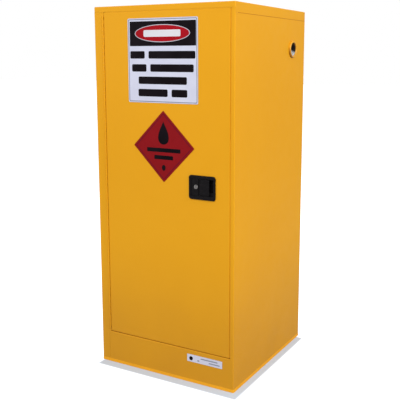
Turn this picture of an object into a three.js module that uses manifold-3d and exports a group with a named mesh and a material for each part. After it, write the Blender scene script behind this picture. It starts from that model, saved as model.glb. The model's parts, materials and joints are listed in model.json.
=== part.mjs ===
// Single-door, double-wall storage cabinet for flammable liquids.
// Millimetres, +Z up. The door faces -Y and is hinged on the left (-X).
// The origin is on the floor, at the middle of the cabinet's footprint.

import * as THREE from "three";
import { mergeVertices } from "three/addons/utils/BufferGeometryUtils.js";
import Module from "manifold-3d";

const wasm = await Module();
wasm.setup();

// ---- Driving dimensions ----------------------------------------------------

const WIDTH = 600;
const DEPTH = 615;
const HEIGHT = 1400;
const SHEET = 1.2; // steel sheet of the shell, liner and door
const HEAVY_SHEET = 1.5; // brackets, shelf uprights and latch parts
const FOLD = 2.6; // centre-line radius of a sheet fold
const TIGHT_FOLD = 2; // the same, in heavy sheet
const FOLD_STEPS = 3; // flats round each fold
const WALL = 40; // outer face to inner face of the double wall
const FIT = 0.3; // clearance between pieces that rest on each other
const PAST = 1; // how far a cut runs past the faces it goes through

const SKIRT_LIFT = 3; // lower edge of the shell above the floor
const CAP_FLANGE = 37; // height of the roof's turned-down edge
const CAP_CORNER = 3;
const CAP_EDGE = 3.2;
const HINGE_JAMB = 36;
const LATCH_JAMB = 16;
const TOP_RAIL = 20;
const PLINTH = 128;
const STOP_DEPTH = 40; // from the front face back to the door stop
const SILL_LIP = 22; // lip that rises behind the door's lower edge
const HEADER_RISE = 15; // header's lip behind the roof's front flange
const PLINTH_RETURN = 25; // plinth's fold back along the floor
const RAIL_TO_LINER = 2; // gap from the frame's inner edges to the liner

const DOOR_THICKNESS = 38;
const DOOR_CORNER = 2.5;
const EDGE_GAP = 2.5; // round the door, except at the hinge
const HINGE_GAP = 8;
const PIN_STANDOFF = 0.5; // hinge pin in front of the front face
const KNUCKLE_RADIUS = 3.2;
const HINGE_PIN_RADIUS = 1.5;
const KNUCKLE_COUNT = 21;
const HINGE_TOP_INSET = 14;
const HINGE_BOTTOM_INSET = 9.5;
const LEAF_WIDTH = 30;
const KNUCKLE_SIDES = 10;
const HINGE_PIN_SIDES = 8;

const HANDLE_PROUD = 4.5;
const HANDLE_WIDTH = 110;
const HANDLE_HEIGHT = 88;
const HANDLE_X = 170.5;
const HANDLE_Z = 753;
const LOCK_X = 144.8;
const LOCK_Z = 754.7;

const CAM_X = 178;
const CAM_Z = 756;
const CAM_RADIUS = 38;
const ROD_ARM = 30; // from the cam's centre to each rod's drive pin
const ROD_WIDTH = 12;
const ROD_THICKNESS = 5;
const ROD_INSET = 24; // from the front face back to the rods
const ROD_HOLE_REACH = 4; // of a rod's hole, each way from the sheet it crosses
const DRIVE_PIN_RADIUS = 3;
const HAT_DEPTH = 34; // from the front face back to the crowns of the door's hat sections

const VENT_RADIUS = 25;
const VENT_FLANGE_RADIUS = 33;
const VENT_SIDES = 32;
const VENT_PROUD = 4;
const SOCKET_WALL = 2.5;
const SOCKET_HOLE_RADIUS = VENT_RADIUS + 3;
const SOCKET_INSIDE = 3; // the socket's end stands this far inside the liner
const SOCKET_RECESS = 0.5; // its outer end behind the flange's face
const ARRESTER_THICKNESS = 3;
const BUNG_LENGTH = 22;
const BUNG_KEY_HALF = 8;
const BUNG_KEY_DEPTH = 8;
const VENT_FROM_FRONT = 485;
const UPPER_VENT_Z = 1247;
const LOWER_VENT_Z = 232;

const SUMP_BOTTOM = 16;
const SUMP_RIM = 150;
const GRATE_TOP = 146;
const SHELF_TOPS = [455, 755, 1055];
const SHELF_EDGE = 25; // height of a shelf's turned-down edge
const UPRIGHT_DEPTH = 12;
const UPRIGHT_HALF_WIDTH = 12.5;
const SLOT_PITCH = 75; // of the slots in the shelf uprights

const FOOT_X = 278;
const FOOT_INSET = 60;
const PAD_RADIUS = 16;
const PAD_HEIGHT = 6;
const PAD_SIDES = 24;
const STUD_RADIUS = 5;
const STUD_TOP = 58;
const STUD_SIDES = 16;
const NUT_RADIUS = 9;
const NUT_HEIGHT = 10;
const HEXAGON = 6;

// ---- Derived places ----------------------------------------------------------

const HALF = WIDTH / 2;
const FRONT = -(DEPTH - HANDLE_PROUD) / 2;
const BACK = FRONT + DEPTH;
const STOP = FRONT + STOP_DEPTH;
const OPEN_LEFT = -HALF + HINGE_JAMB;
const OPEN_RIGHT = HALF - LATCH_JAMB;
const OPEN_TOP = HEIGHT - TOP_RAIL;
const CAP_BOTTOM = HEIGHT - CAP_FLANGE;
const LINER_X = HALF - WALL; // inner faces of the side liners
const LINER_BACK = BACK - WALL;
const CEILING = HEIGHT - WALL;
const DOOR_LEFT = OPEN_LEFT + HINGE_GAP;
const DOOR_RIGHT = OPEN_RIGHT - EDGE_GAP;
const DOOR_BOTTOM = PLINTH + EDGE_GAP;
const DOOR_TOP = OPEN_TOP - EDGE_GAP;
const DOOR_MID_X = (DOOR_LEFT + DOOR_RIGHT) / 2;
const DOOR_MID_Z = (DOOR_BOTTOM + DOOR_TOP) / 2;
const HINGE_X = OPEN_LEFT + HINGE_GAP / 2;
const HINGE_Y = FRONT - PIN_STANDOFF;
const VENT_Y = FRONT + VENT_FROM_FRONT;
const ROD_FRONT = FRONT + ROD_INSET;
const ROD_BACK = ROD_FRONT + ROD_THICKNESS;
const UPPER_ROD_X = CAM_X - ROD_ARM;
const LOWER_ROD_X = CAM_X + ROD_ARM;
const BOLT_Z = CAM_Z + ROD_ARM;
const UPRIGHT_YS = [FRONT + 110, BACK - 70];
const UPRIGHT_X = LINER_X - UPRIGHT_DEPTH; // face of the uprights
const UPRIGHT_BOTTOM = 290;
const UPRIGHT_TOP = 1320;
const BRIM_Y = FRONT + SHEET + FIT; // front of whatever lies on the door skin's inner face
const HAT_BACK = FRONT + HAT_DEPTH;

// ---- Materials -----------------------------------------------------------------

function material(color, roughness, metalness) {
  return new THREE.MeshStandardMaterial({ color, roughness, metalness });
}

const yellowPaint = material(0xe8a824, 0.42, 0.0);
const zinc = material(0xb9bcc0, 0.35, 0.9);
const galvanised = material(0x9fa4a8, 0.5, 0.8);
const blackPlastic = material(0x1a181b, 0.45, 0.0);
const lockMetal = material(0x9a9695, 0.35, 0.9);
const brassMesh = material(0x8a7340, 0.6, 0.8);
const whiteLabel = material(0xe4e4f0, 0.4, 0.0);
const redLabel = material(0x9c1c26, 0.4, 0.0);

// ---- Solids ----------------------------------------------------------------------

function solidFrom(geometry) {
  const bare = geometry.clone();
  bare.deleteAttribute("normal");
  bare.deleteAttribute("uv");
  const merged = mergeVertices(bare, 1e-4);
  return new wasm.Manifold(
    new wasm.Mesh({
      numProp: 3,
      vertProperties: new Float32Array(merged.attributes.position.array),
      triVerts: new Uint32Array(merged.index.array),
    }),
  );
}

function geometryFrom(solid) {
  const mesh = solid.getMesh();
  const geometry = new THREE.BufferGeometry();
  geometry.setAttribute("position", new THREE.BufferAttribute(mesh.vertProperties, 3));
  geometry.setIndex(new THREE.BufferAttribute(mesh.triVerts, 1));
  geometry.computeVertexNormals();
  return geometry;
}

function joined(...solids) {
  return solids.reduce((whole, piece) => whole.add(piece));
}

function cut(solid, ...tools) {
  return tools.reduce((rest, tool) => rest.subtract(tool), solid);
}

// A solid box between two corners.
function block(x0, x1, y0, y1, z0, z1) {
  const geometry = new THREE.BoxGeometry(x1 - x0, y1 - y0, z1 - z0);
  geometry.translate((x0 + x1) / 2, (y0 + y1) / 2, (z0 + z1) / 2);
  return solidFrom(geometry);
}

const AXES = {
  x: new THREE.Matrix4().makeBasis(
    new THREE.Vector3(0, 1, 0),
    new THREE.Vector3(0, 0, 1),
    new THREE.Vector3(1, 0, 0),
  ),
  y: new THREE.Matrix4().makeBasis(
    new THREE.Vector3(1, 0, 0),
    new THREE.Vector3(0, 0, 1),
    new THREE.Vector3(0, -1, 0),
  ),
  z: new THREE.Matrix4(),
};

// A flat outline drawn across an axis and run along it from one place to another.
// Across x the outline is (y, z), across y it is (x, z), and across z it is (x, y).
function prism(shape, axis, from, to) {
  const geometry = new THREE.ExtrudeGeometry(shape, { depth: to - from, bevelEnabled: false });
  geometry.applyMatrix4(AXES[axis]);
  const start = { x: [from, 0, 0], y: [0, to, 0], z: [0, 0, from] }[axis];
  geometry.translate(...start);
  return solidFrom(geometry);
}

const BAR_SIDES = 20;

// A round bar along an axis.
function bar(radius, axis, from, to, across, sides = BAR_SIDES) {
  const geometry = new THREE.CylinderGeometry(radius, radius, to - from, sides);
  const middle = (from + to) / 2;
  if (axis === "x") {
    geometry.rotateZ(Math.PI / 2);
    geometry.translate(middle, across[0], across[1]);
  } else if (axis === "y") {
    geometry.translate(across[0], middle, across[1]);
  } else {
    geometry.rotateX(Math.PI / 2);
    geometry.translate(across[0], across[1], middle);
  }
  return solidFrom(geometry);
}

function ring(outer, inner, axis, from, to, across, sides = VENT_SIDES) {
  return cut(
    bar(outer, axis, from, to, across, sides),
    bar(inner, axis, from - PAST, to + PAST, across, sides),
  );
}

function roundedRectangle(width, height, radius) {
  const x = width / 2;
  const y = height / 2;
  const shape = new THREE.Shape();
  shape.moveTo(-x + radius, -y);
  shape.lineTo(x - radius, -y);
  shape.absarc(x - radius, -y + radius, radius, -Math.PI / 2, 0);
  shape.lineTo(x, y - radius);
  shape.absarc(x - radius, y - radius, radius, 0, Math.PI / 2);
  shape.lineTo(-x + radius, y);
  shape.absarc(-x + radius, y - radius, radius, Math.PI / 2, Math.PI);
  shape.lineTo(-x, -y + radius);
  shape.absarc(-x + radius, -y + radius, radius, Math.PI, Math.PI * 1.5);
  return shape;
}

const LEAST_RADIUS = 0.5; // of any corner that a rounded edge or a sheet's thickness eats into

// A slab with rounded corners and rounded edges on the side away from +w.
// It lies across w, centred on u and v, and its rounded face is at w = 0.
function roundedSlab(width, height, thickness, corner, edge, segments = 3) {
  const cornerRadius = Math.max(corner - edge, LEAST_RADIUS);
  const shape = roundedRectangle(width - 2 * edge, height - 2 * edge, cornerRadius);
  const geometry = new THREE.ExtrudeGeometry(shape, {
    depth: thickness,
    bevelThickness: edge,
    bevelSize: edge,
    bevelSegments: segments,
    curveSegments: segments,
  });
  geometry.translate(0, 0, edge);
  const beyond = block(-width, width, -height, height, thickness, 4 * thickness + 4 * edge);
  return cut(solidFrom(geometry), beyond);
}

// An open tray pressed from sheet: a floor at w = 0 and walls that run to w = height.
function tray(width, length, height, sheet, corner, edge) {
  const outer = roundedSlab(width, length, height, corner, edge);
  const inside = roundedSlab(
    width - 2 * sheet,
    length - 2 * sheet,
    height + sheet,
    Math.max(corner - sheet, LEAST_RADIUS),
    Math.max(edge - sheet, LEAST_RADIUS),
  );
  return cut(outer, inside.translate([0, 0, sheet]));
}

// Turns a solid made across w so that w runs along the named direction.
function facing(direction, solid, centre) {
  const turns = { up: [0, 0, 0], down: [180, 0, 0], back: [-90, 0, 0] };
  return solid.rotate(turns[direction]).translate(centre);
}

function unit(from, to) {
  const length = Math.hypot(to[0] - from[0], to[1] - from[1]);
  return [(to[0] - from[0]) / length, (to[1] - from[1]) / length];
}

// The path moved sideways (to its left where distance is positive), with square corners.
function movedPath(path, distance) {
  return path.map((point, i) => {
    const before = i > 0 ? unit(path[i - 1], point) : unit(point, path[i + 1]);
    const after = i < path.length - 1 ? unit(point, path[i + 1]) : before;
    const bisector = [-(before[1] + after[1]), before[0] + after[0]];
    const scale = distance / (1 + before[0] * after[0] + before[1] * after[1]);
    return [point[0] + bisector[0] * scale, point[1] + bisector[1] * scale];
  });
}

// Outline of a folded sheet. The path is its visible face, and its material lies on
// the left of the path where side is 1 and on the right where side is -1.
function foldedSheet(path, side, sheet = SHEET, fold = FOLD) {
  const centre = movedPath(path, (side * sheet) / 2);
  const left = [];
  const right = [];
  const add = (point, normal) => {
    left.push([point[0] + (normal[0] * sheet) / 2, point[1] + (normal[1] * sheet) / 2]);
    right.push([point[0] - (normal[0] * sheet) / 2, point[1] - (normal[1] * sheet) / 2]);
  };
  const first = unit(centre[0], centre[1]);
  add(centre[0], [-first[1], first[0]]);
  for (let i = 1; i < centre.length - 1; i++) {
    const before = unit(centre[i - 1], centre[i]);
    const after = unit(centre[i], centre[i + 1]);
    const turn = Math.sign(before[0] * after[1] - before[1] * after[0]);
    const angle = Math.acos(before[0] * after[0] + before[1] * after[1]);
    const tangent = fold * Math.tan(angle / 2);
    const normal = [-before[1], before[0]];
    const hub = [
      centre[i][0] - before[0] * tangent + turn * normal[0] * fold,
      centre[i][1] - before[1] * tangent + turn * normal[1] * fold,
    ];
    for (let k = 0; k <= FOLD_STEPS; k++) {
      const a = (turn * angle * k) / FOLD_STEPS;
      const n = [
        normal[0] * Math.cos(a) - normal[1] * Math.sin(a),
        normal[0] * Math.sin(a) + normal[1] * Math.cos(a),
      ];
      add([hub[0] - turn * n[0] * fold, hub[1] - turn * n[1] * fold], n);
    }
  }
  const end = centre[centre.length - 1];
  const last = unit(centre[centre.length - 2], end);
  add(end, [-last[1], last[0]]);
  const outline = [...left, ...right.reverse()];
  return new THREE.Shape(outline.map(([u, v]) => new THREE.Vector2(u, v)));
}

function mirrored(path) {
  return path.map(([u, v]) => [-u, v]);
}

const cabinet = new THREE.Group();
cabinet.name = "flammable_storage_cabinet";
const door = new THREE.Group();
door.name = "door";
cabinet.add(door);

function addPiece(name, solid, pieceMaterial, parent = cabinet) {
  const mesh = new THREE.Mesh(geometryFrom(solid), pieceMaterial);
  mesh.name = name;
  parent.add(mesh);
}

// ---- Outer shell -------------------------------------------------------------------

const BACK_FLANGE = 30;
const BACK_PANEL_INSET = 4; // from the cabinet's sides
const JAMB_OVERLAP = 2; // of a jamb's head below the roof's flange
const ROD_SLACK = 1; // round a rod in its hole
const ROD_HOLE_WIDTH = ROD_WIDTH + 2 * ROD_SLACK;
const ROD_HOLE_DEPTH = [ROD_FRONT - ROD_SLACK, ROD_BACK + ROD_SLACK];

function ventHole(side, centreZ, radius) {
  const from = side > 0 ? LINER_X - PAST : -HALF - PAST;
  const to = side > 0 ? HALF + PAST : -LINER_X + PAST;
  return bar(radius, "x", from, to, [VENT_Y, centreZ], VENT_SIDES);
}

// A side of the shell with its folded jamb and back flange. Above the roof's flange
// only the jamb goes on, just inside the flange.
function sidePanel(side, jambPath) {
  const wrap = [
    ...jambPath,
    [side * HALF, FRONT],
    [side * HALF, BACK],
    [side * (HALF - BACK_FLANGE), BACK],
  ];
  const head = [...jambPath, [side * (HALF - SHEET - FIT), FRONT]];
  const lower = prism(foldedSheet(wrap, side), "z", SKIRT_LIFT, CAP_BOTTOM - FIT);
  const upper = prism(foldedSheet(head, side), "z", CAP_BOTTOM - JAMB_OVERLAP, OPEN_TOP - FIT);
  return joined(lower, upper);
}

function boltHole() {
  return block(
    OPEN_RIGHT - PAST,
    OPEN_RIGHT + SHEET + PAST,
    ...ROD_HOLE_DEPTH,
    BOLT_Z - ROD_HOLE_WIDTH / 2,
    BOLT_Z + ROD_HOLE_WIDTH / 2,
  );
}

function addShell() {
  const leftJamb = [
    [OPEN_LEFT, STOP],
    [OPEN_LEFT, FRONT],
  ];
  const rightJamb = [
    [LINER_X + RAIL_TO_LINER, STOP],
    [OPEN_RIGHT, STOP],
    [OPEN_RIGHT, FRONT],
  ];
  const hole = SOCKET_HOLE_RADIUS;
  const left = cut(sidePanel(-1, leftJamb), ventHole(-1, LOWER_VENT_Z, hole));
  const stopEnds = [
    [0, PLINTH + SILL_LIP + FIT],
    [CEILING + RAIL_TO_LINER - FIT, HEIGHT],
  ].map((heights) => block(LINER_X, OPEN_RIGHT, STOP - FOLD, STOP + FOLD, ...heights));
  const right = cut(
    sidePanel(1, rightJamb),
    ventHole(1, UPPER_VENT_Z, hole),
    boltHole(),
    ...stopEnds,
  );
  addPiece("left_side_panel", left, yellowPaint);
  addPiece("right_side_panel", right, yellowPaint);

  const panelBack = BACK - SHEET - FIT;
  const backPanel = block(
    -HALF + BACK_PANEL_INSET,
    HALF - BACK_PANEL_INSET,
    panelBack - SHEET,
    panelBack,
    SKIRT_LIFT,
    CAP_BOTTOM - FIT,
  );
  addPiece("back_panel", backPanel, yellowPaint);

  const pressed = tray(WIDTH, DEPTH, CAP_FLANGE, SHEET, CAP_CORNER, CAP_EDGE);
  const roof = facing("down", pressed, [0, (FRONT + BACK) / 2, HEIGHT]);
  const frontCut = block(
    -HALF + SHEET,
    HALF - SHEET,
    FRONT - PAST,
    FRONT + CAP_CORNER + PAST,
    CAP_BOTTOM - PAST,
    OPEN_TOP,
  );
  addPiece("top_cap", cut(roof, frontCut), yellowPaint);
}

function rodHole(x, z) {
  const half = ROD_HOLE_WIDTH / 2;
  return block(
    x - half,
    x + half,
    ...ROD_HOLE_DEPTH,
    z - ROD_HOLE_REACH,
    z + ROD_HOLE_REACH,
  );
}

const STRIKE_THICKNESS = 2;
const STRIKE_HALF_HEIGHT = 35;
const STRIKE_FRONT = FRONT + 8;
const STRIKE_BACK = STOP - 4;

// The parts of the door frame that close the opening above and below.
function addFrameRails() {
  const from = OPEN_LEFT + FIT;
  const to = OPEN_RIGHT - FIT;
  const headerPath = [
    [FRONT + SHEET + FIT, OPEN_TOP + HEADER_RISE],
    [FRONT + SHEET + FIT, OPEN_TOP],
    [STOP, OPEN_TOP],
    [STOP, CEILING + RAIL_TO_LINER],
  ];
  const header = prism(foldedSheet(headerPath, 1), "x", from, to);
  addPiece("door_header", cut(header, rodHole(UPPER_ROD_X, OPEN_TOP)), yellowPaint);

  const plinthPath = [
    [FRONT + PLINTH_RETURN, SKIRT_LIFT],
    [FRONT, SKIRT_LIFT],
    [FRONT, PLINTH],
    [STOP, PLINTH],
    [STOP, PLINTH + SILL_LIP],
  ];
  const plinth = prism(foldedSheet(plinthPath, -1), "x", from, to);
  addPiece("plinth_panel", cut(plinth, rodHole(LOWER_ROD_X, PLINTH)), yellowPaint);

  const strikeX = OPEN_RIGHT + SHEET + FIT;
  const strike = block(
    strikeX,
    strikeX + STRIKE_THICKNESS,
    STRIKE_FRONT,
    STRIKE_BACK,
    BOLT_Z - STRIKE_HALF_HEIGHT,
    BOLT_Z + STRIKE_HALF_HEIGHT,
  );
  const slot = boltHole().translate([SHEET + FIT + STRIKE_THICKNESS / 2, 0, 0]);
  addPiece("side_strike", cut(strike, slot), zinc);
}

function footPlaces() {
  return [
    ["front_left", -FOOT_X, FRONT + FOOT_INSET],
    ["front_right", FOOT_X, FRONT + FOOT_INSET],
    ["rear_left", -FOOT_X, BACK - FOOT_INSET],
    ["rear_right", FOOT_X, BACK - FOOT_INSET],
  ];
}

const BASE_SIDE_INSET = 3;
const BASE_BACK_GAP = 2; // to the back panel

function addBase() {
  const top = SUMP_BOTTOM - FIT;
  let base = block(
    -HALF + BASE_SIDE_INSET,
    HALF - BASE_SIDE_INSET,
    STOP + SHEET + FIT,
    BACK - 2 * SHEET - 2 * FIT - BASE_BACK_GAP,
    top - 2 * SHEET,
    top,
  );
  for (const [, x, y] of footPlaces()) {
    const nutTop = top + NUT_HEIGHT;
    const nut = bar(NUT_RADIUS, "z", top - SHEET, nutTop, [x, y], HEXAGON);
    const thread = bar(STUD_RADIUS + FIT, "z", 0, nutTop + PAST, [x, y], STUD_SIDES);
    base = cut(joined(base, nut), thread);
  }
  addPiece("base_plate", base, galvanised);

  for (const [place, x, y] of footPlaces()) {
    const pad = bar(PAD_RADIUS, "z", 0, PAD_HEIGHT, [x, y], PAD_SIDES);
    const stud = bar(STUD_RADIUS, "z", PAD_HEIGHT / 2, STUD_TOP, [x, y], STUD_SIDES);
    addPiece("levelling_foot_" + place, joined(pad, stud), zinc);
  }
}

// ---- Inner liner, sump and shelves ------------------------------------------------------

function addLiner() {
  const front = STOP + SHEET + FIT;
  const back = LINER_BACK + SHEET;
  const bottom = SUMP_BOTTOM;
  const hole = SOCKET_HOLE_RADIUS;
  const sides = [
    ["liner_left", -1, LOWER_VENT_Z],
    ["liner_right", 1, UPPER_VENT_Z],
  ];
  for (const [name, side, ventZ] of sides) {
    const faces = [side * LINER_X, side * (LINER_X + SHEET)].sort((a, b) => a - b);
    const plate = block(...faces, front, back, bottom, CEILING + SHEET);
    addPiece(name, cut(plate, ventHole(side, ventZ, hole)), yellowPaint);
  }
  const inner = LINER_X - FIT;
  const backLiner = block(-inner, inner, LINER_BACK, back, bottom, CEILING - FIT);
  addPiece("liner_back", backLiner, yellowPaint);
  const ceiling = block(-inner, inner, front, back, CEILING, CEILING + SHEET);
  addPiece("liner_ceiling", ceiling, yellowPaint);
}

// Slots through a sheet whose top face is at z, spread evenly over a centred rectangle.
function slotGrid({ columns, rows, length, width }, spanX, spanY, centreY, z) {
  const slots = [];
  const halfLength = length / 2;
  const halfWidth = width / 2;
  const top = z + PAST;
  const bottom = z - 2 * HEAVY_SHEET;
  for (let i = 0; i < columns; i++) {
    for (let j = 0; j < rows; j++) {
      const x = spanX * ((i + 0.5) / columns - 0.5);
      const y = centreY + spanY * ((j + 0.5) / rows - 0.5);
      const acrossX = [x - halfLength, x + halfLength];
      slots.push(block(...acrossX, y - halfWidth, y + halfWidth, bottom, top));
    }
  }
  return slots;
}

const SUMP_GAP = 2; // round the sump, inside the liner
const SUMP_CORNER = 8;
const SUMP_EDGE = 6;
const GRATE_LEG_GAP = 8; // from the liner to the grate's legs
const GRATE_END_INSET = 10;
const GRATE_MARGIN_X = 15; // from the grate's edges to its field of slots
const GRATE_MARGIN_Y = 25;
const GRATE_SLOTS = { columns: 5, rows: 6, length: 70, width: 14 };

function addSump() {
  const front = STOP + SHEET + SUMP_GAP;
  const back = LINER_BACK - SUMP_GAP;
  const length = back - front;
  const centre = (front + back) / 2;
  const width = 2 * (LINER_X - SUMP_GAP);
  const height = SUMP_RIM - SUMP_BOTTOM;
  const sump = tray(width, length, height, SHEET, SUMP_CORNER, SUMP_EDGE);
  addPiece("sump_tray", facing("up", sump, [0, centre, SUMP_BOTTOM]), yellowPaint);

  const legX = LINER_X - GRATE_LEG_GAP;
  const legBottom = SUMP_BOTTOM + SHEET + FIT;
  const path = [
    [-legX, legBottom],
    [-legX, GRATE_TOP],
    [legX, GRATE_TOP],
    [legX, legBottom],
  ];
  const grateOutline = foldedSheet(path, -1, HEAVY_SHEET);
  const grate = prism(grateOutline, "y", front + GRATE_END_INSET, back - GRATE_END_INSET);
  const spanX = 2 * (legX - GRATE_MARGIN_X);
  const slots = slotGrid(GRATE_SLOTS, spanX, length - 2 * GRATE_MARGIN_Y, centre, GRATE_TOP);
  addPiece("sump_grate", cut(grate, ...slots), galvanised);
}

const SHELF_SIDE_GAP = 16; // from the liner, so a shelf lifts out between the uprights
const SHELF_HALF_WIDTH = LINER_X - SHELF_SIDE_GAP;
const SHELF_FRONT = FRONT + 62;
const SHELF_BACK = BACK - 50;
const SHELF_CORNER = 4;
const SHELF_FOLD = 3;
const SHELF_MARGIN = 30; // from the shelf's edges to its field of slots
const SHELF_SLOTS = { columns: 4, rows: 5, length: 76, width: 14 };

function addShelves() {
  const length = SHELF_BACK - SHELF_FRONT;
  const centre = (SHELF_FRONT + SHELF_BACK) / 2;
  const width = 2 * SHELF_HALF_WIDTH;
  const spans = [width - 2 * SHELF_MARGIN, length - 2 * SHELF_MARGIN];
  SHELF_TOPS.forEach((top, i) => {
    const pressed = tray(width, length, SHELF_EDGE, SHEET, SHELF_CORNER, SHELF_FOLD);
    const shelf = facing("down", pressed, [0, centre, top]);
    const slots = slotGrid(SHELF_SLOTS, ...spans, centre, top);
    addPiece("shelf_" + (i + 1), cut(shelf, ...slots), galvanised);
  });
}

const TAB_DROP = 12; // from a bracket's seat down to its tabs
const TAB_HALF_WIDTH = 1.5;
const TAB_HALF_HEIGHT = 4;
const TAB_REACH = 4; // behind the upright's face
const SLOT_HALF_WIDTH = 2.5;
const SLOT_HALF_HEIGHT = 7;
const UPRIGHT_END = 20; // plain length above the last slot

// The height of the slots that a shelf's brackets hook into.
function tabHeight(shelfTop) {
  return shelfTop - SHELF_EDGE - FIT - TAB_DROP;
}

function uprightSlotHeights() {
  const heights = [];
  const lowest = tabHeight(SHELF_TOPS[0]) - SLOT_PITCH;
  for (let z = lowest; z < UPRIGHT_TOP - UPRIGHT_END; z += SLOT_PITCH) {
    heights.push(z);
  }
  return heights;
}

function addUprights() {
  for (const [sideName, side] of [["left", -1], ["right", 1]]) {
    ["front", "rear"].forEach((placeName, i) => {
      const y = UPRIGHT_YS[i];
      const foot = LINER_X - FIT;
      const path = [
        [foot, y - UPRIGHT_HALF_WIDTH],
        [UPRIGHT_X, y - UPRIGHT_HALF_WIDTH],
        [UPRIGHT_X, y + UPRIGHT_HALF_WIDTH],
        [foot, y + UPRIGHT_HALF_WIDTH],
      ];
      const placed = side > 0 ? path : mirrored(path);
      const outline = foldedSheet(placed, -side, HEAVY_SHEET, TIGHT_FOLD);
      const slots = uprightSlotHeights().map((z) => {
        const x = side * UPRIGHT_X;
        return block(
          x - 2 * HEAVY_SHEET,
          x + 2 * HEAVY_SHEET,
          y - SLOT_HALF_WIDTH,
          y + SLOT_HALF_WIDTH,
          z - SLOT_HALF_HEIGHT,
          z + SLOT_HALF_HEIGHT,
        );
      });
      const upright = cut(prism(outline, "z", UPRIGHT_BOTTOM, UPRIGHT_TOP), ...slots);
      addPiece("shelf_upright_" + sideName + "_" + placeName, upright, galvanised);
    });
  }
}

const BRACKET_LEDGE = 22;
const BRACKET_DROP = 24;
const BRACKET_OVERHANG = 16; // past the middle of each upright

// An angle under each end of a shelf, with a tab in a slot of each upright.
function addShelfBrackets() {
  const wallX = UPRIGHT_X - FIT;
  const ends = [UPRIGHT_YS[0] - BRACKET_OVERHANG, UPRIGHT_YS[1] + BRACKET_OVERHANG];
  SHELF_TOPS.forEach((top, i) => {
    const seat = top - SHELF_EDGE - FIT;
    for (const [sideName, side] of [["left", -1], ["right", 1]]) {
      const path = [
        [wallX - BRACKET_LEDGE, seat],
        [wallX, seat],
        [wallX, seat - BRACKET_DROP],
      ];
      const placed = side > 0 ? path : mirrored(path);
      const outline = foldedSheet(placed, -side, HEAVY_SHEET, TIGHT_FOLD);
      let bracket = prism(outline, "y", ...ends);
      const tabX = [side * (wallX - HEAVY_SHEET / 2), side * (UPRIGHT_X + TAB_REACH)];
      const tabZ = tabHeight(top);
      for (const y of UPRIGHT_YS) {
        const tab = block(
          Math.min(...tabX),
          Math.max(...tabX),
          y - TAB_HALF_WIDTH,
          y + TAB_HALF_WIDTH,
          tabZ - TAB_HALF_HEIGHT,
          tabZ + TAB_HALF_HEIGHT,
        );
        bracket = joined(bracket, tab);
      }
      addPiece("shelf_bracket_" + (i + 1) + "_" + sideName, bracket, galvanised);
    }
  });
}

// ---- Vents ---------------------------------------------------------------------------

// A threaded socket through the double wall, with its painted flange, and a flame
// arrester capped over its inner end.
function addVent(name, side, z) {
  const along = (from, to) => [side * from, side * to].sort((a, b) => a - b);
  const place = [VENT_Y, z];
  const flangeSpan = along(HALF + FIT, HALF + VENT_PROUD);
  const flange = ring(VENT_FLANGE_RADIUS, SOCKET_HOLE_RADIUS, "x", ...flangeSpan, place);
  addPiece("vent_flange_" + name, flange, yellowPaint);
  const innerEnd = LINER_X - SOCKET_INSIDE;
  const socketRadius = VENT_RADIUS + SOCKET_WALL;
  const socketSpan = along(innerEnd, HALF + VENT_PROUD - SOCKET_RECESS);
  const socket = ring(socketRadius, VENT_RADIUS, "x", ...socketSpan, place);
  addPiece("vent_socket_" + name, socket, zinc);
  const meshSpan = along(innerEnd - FIT - ARRESTER_THICKNESS, innerEnd - FIT);
  const arrester = bar(socketRadius, "x", ...meshSpan, place, VENT_SIDES);
  addPiece("flame_arrester_" + name, arrester, brassMesh);
}

function addVentBung() {
  const outerFace = -HALF - VENT_PROUD;
  const place = [VENT_Y, LOWER_VENT_Z];
  const span = [outerFace, outerFace + BUNG_LENGTH];
  const plug = bar(VENT_RADIUS - FIT, "x", ...span, place, VENT_SIDES);
  const key = block(
    outerFace - PAST,
    outerFace + BUNG_KEY_DEPTH,
    VENT_Y - BUNG_KEY_HALF,
    VENT_Y + BUNG_KEY_HALF,
    LOWER_VENT_Z - BUNG_KEY_HALF,
    LOWER_VENT_Z + BUNG_KEY_HALF,
  );
  addPiece("vent_bung", cut(plug, key), blackPlastic);
}

// ---- Piano hinge -----------------------------------------------------------------------

const HINGE_BOTTOM = DOOR_BOTTOM + HINGE_BOTTOM_INSET;
const HINGE_TOP = DOOR_TOP - HINGE_TOP_INSET;
const KNUCKLE_PITCH = (HINGE_TOP - HINGE_BOTTOM) / KNUCKLE_COUNT;
const NECK_START = 0.6; // of the web between a knuckle and its leaf, behind the pin
const NECK_END = KNUCKLE_RADIUS + 1;

// A leaf beside the pin, with every second knuckle of the hinge.
function hingeLeaf(side, firstKnuckle) {
  const faceX = side < 0 ? OPEN_LEFT + FIT : DOOR_LEFT - FIT - SHEET;
  let leaf = block(faceX, faceX + SHEET, HINGE_Y, HINGE_Y + LEAF_WIDTH, HINGE_BOTTOM, HINGE_TOP);
  const pin = [HINGE_X, HINGE_Y];
  const past = [HINGE_BOTTOM - PAST, HINGE_TOP + PAST];
  leaf = cut(leaf, bar(KNUCKLE_RADIUS + FIT, "z", ...past, pin, KNUCKLE_SIDES));
  for (let i = firstKnuckle; i < KNUCKLE_COUNT; i += 2) {
    const from = HINGE_BOTTOM + i * KNUCKLE_PITCH + FIT;
    const to = HINGE_BOTTOM + (i + 1) * KNUCKLE_PITCH - FIT;
    const outer = bar(KNUCKLE_RADIUS, "z", from, to, pin, KNUCKLE_SIDES);
    const neckX = side < 0 ? [faceX, HINGE_X] : [HINGE_X, faceX + SHEET];
    const neck = block(...neckX, HINGE_Y + NECK_START, HINGE_Y + NECK_END, from, to);
    leaf = joined(leaf, outer, neck);
  }
  return cut(leaf, bar(HINGE_PIN_RADIUS + FIT, "z", ...past, pin, HINGE_PIN_SIDES));
}

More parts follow.
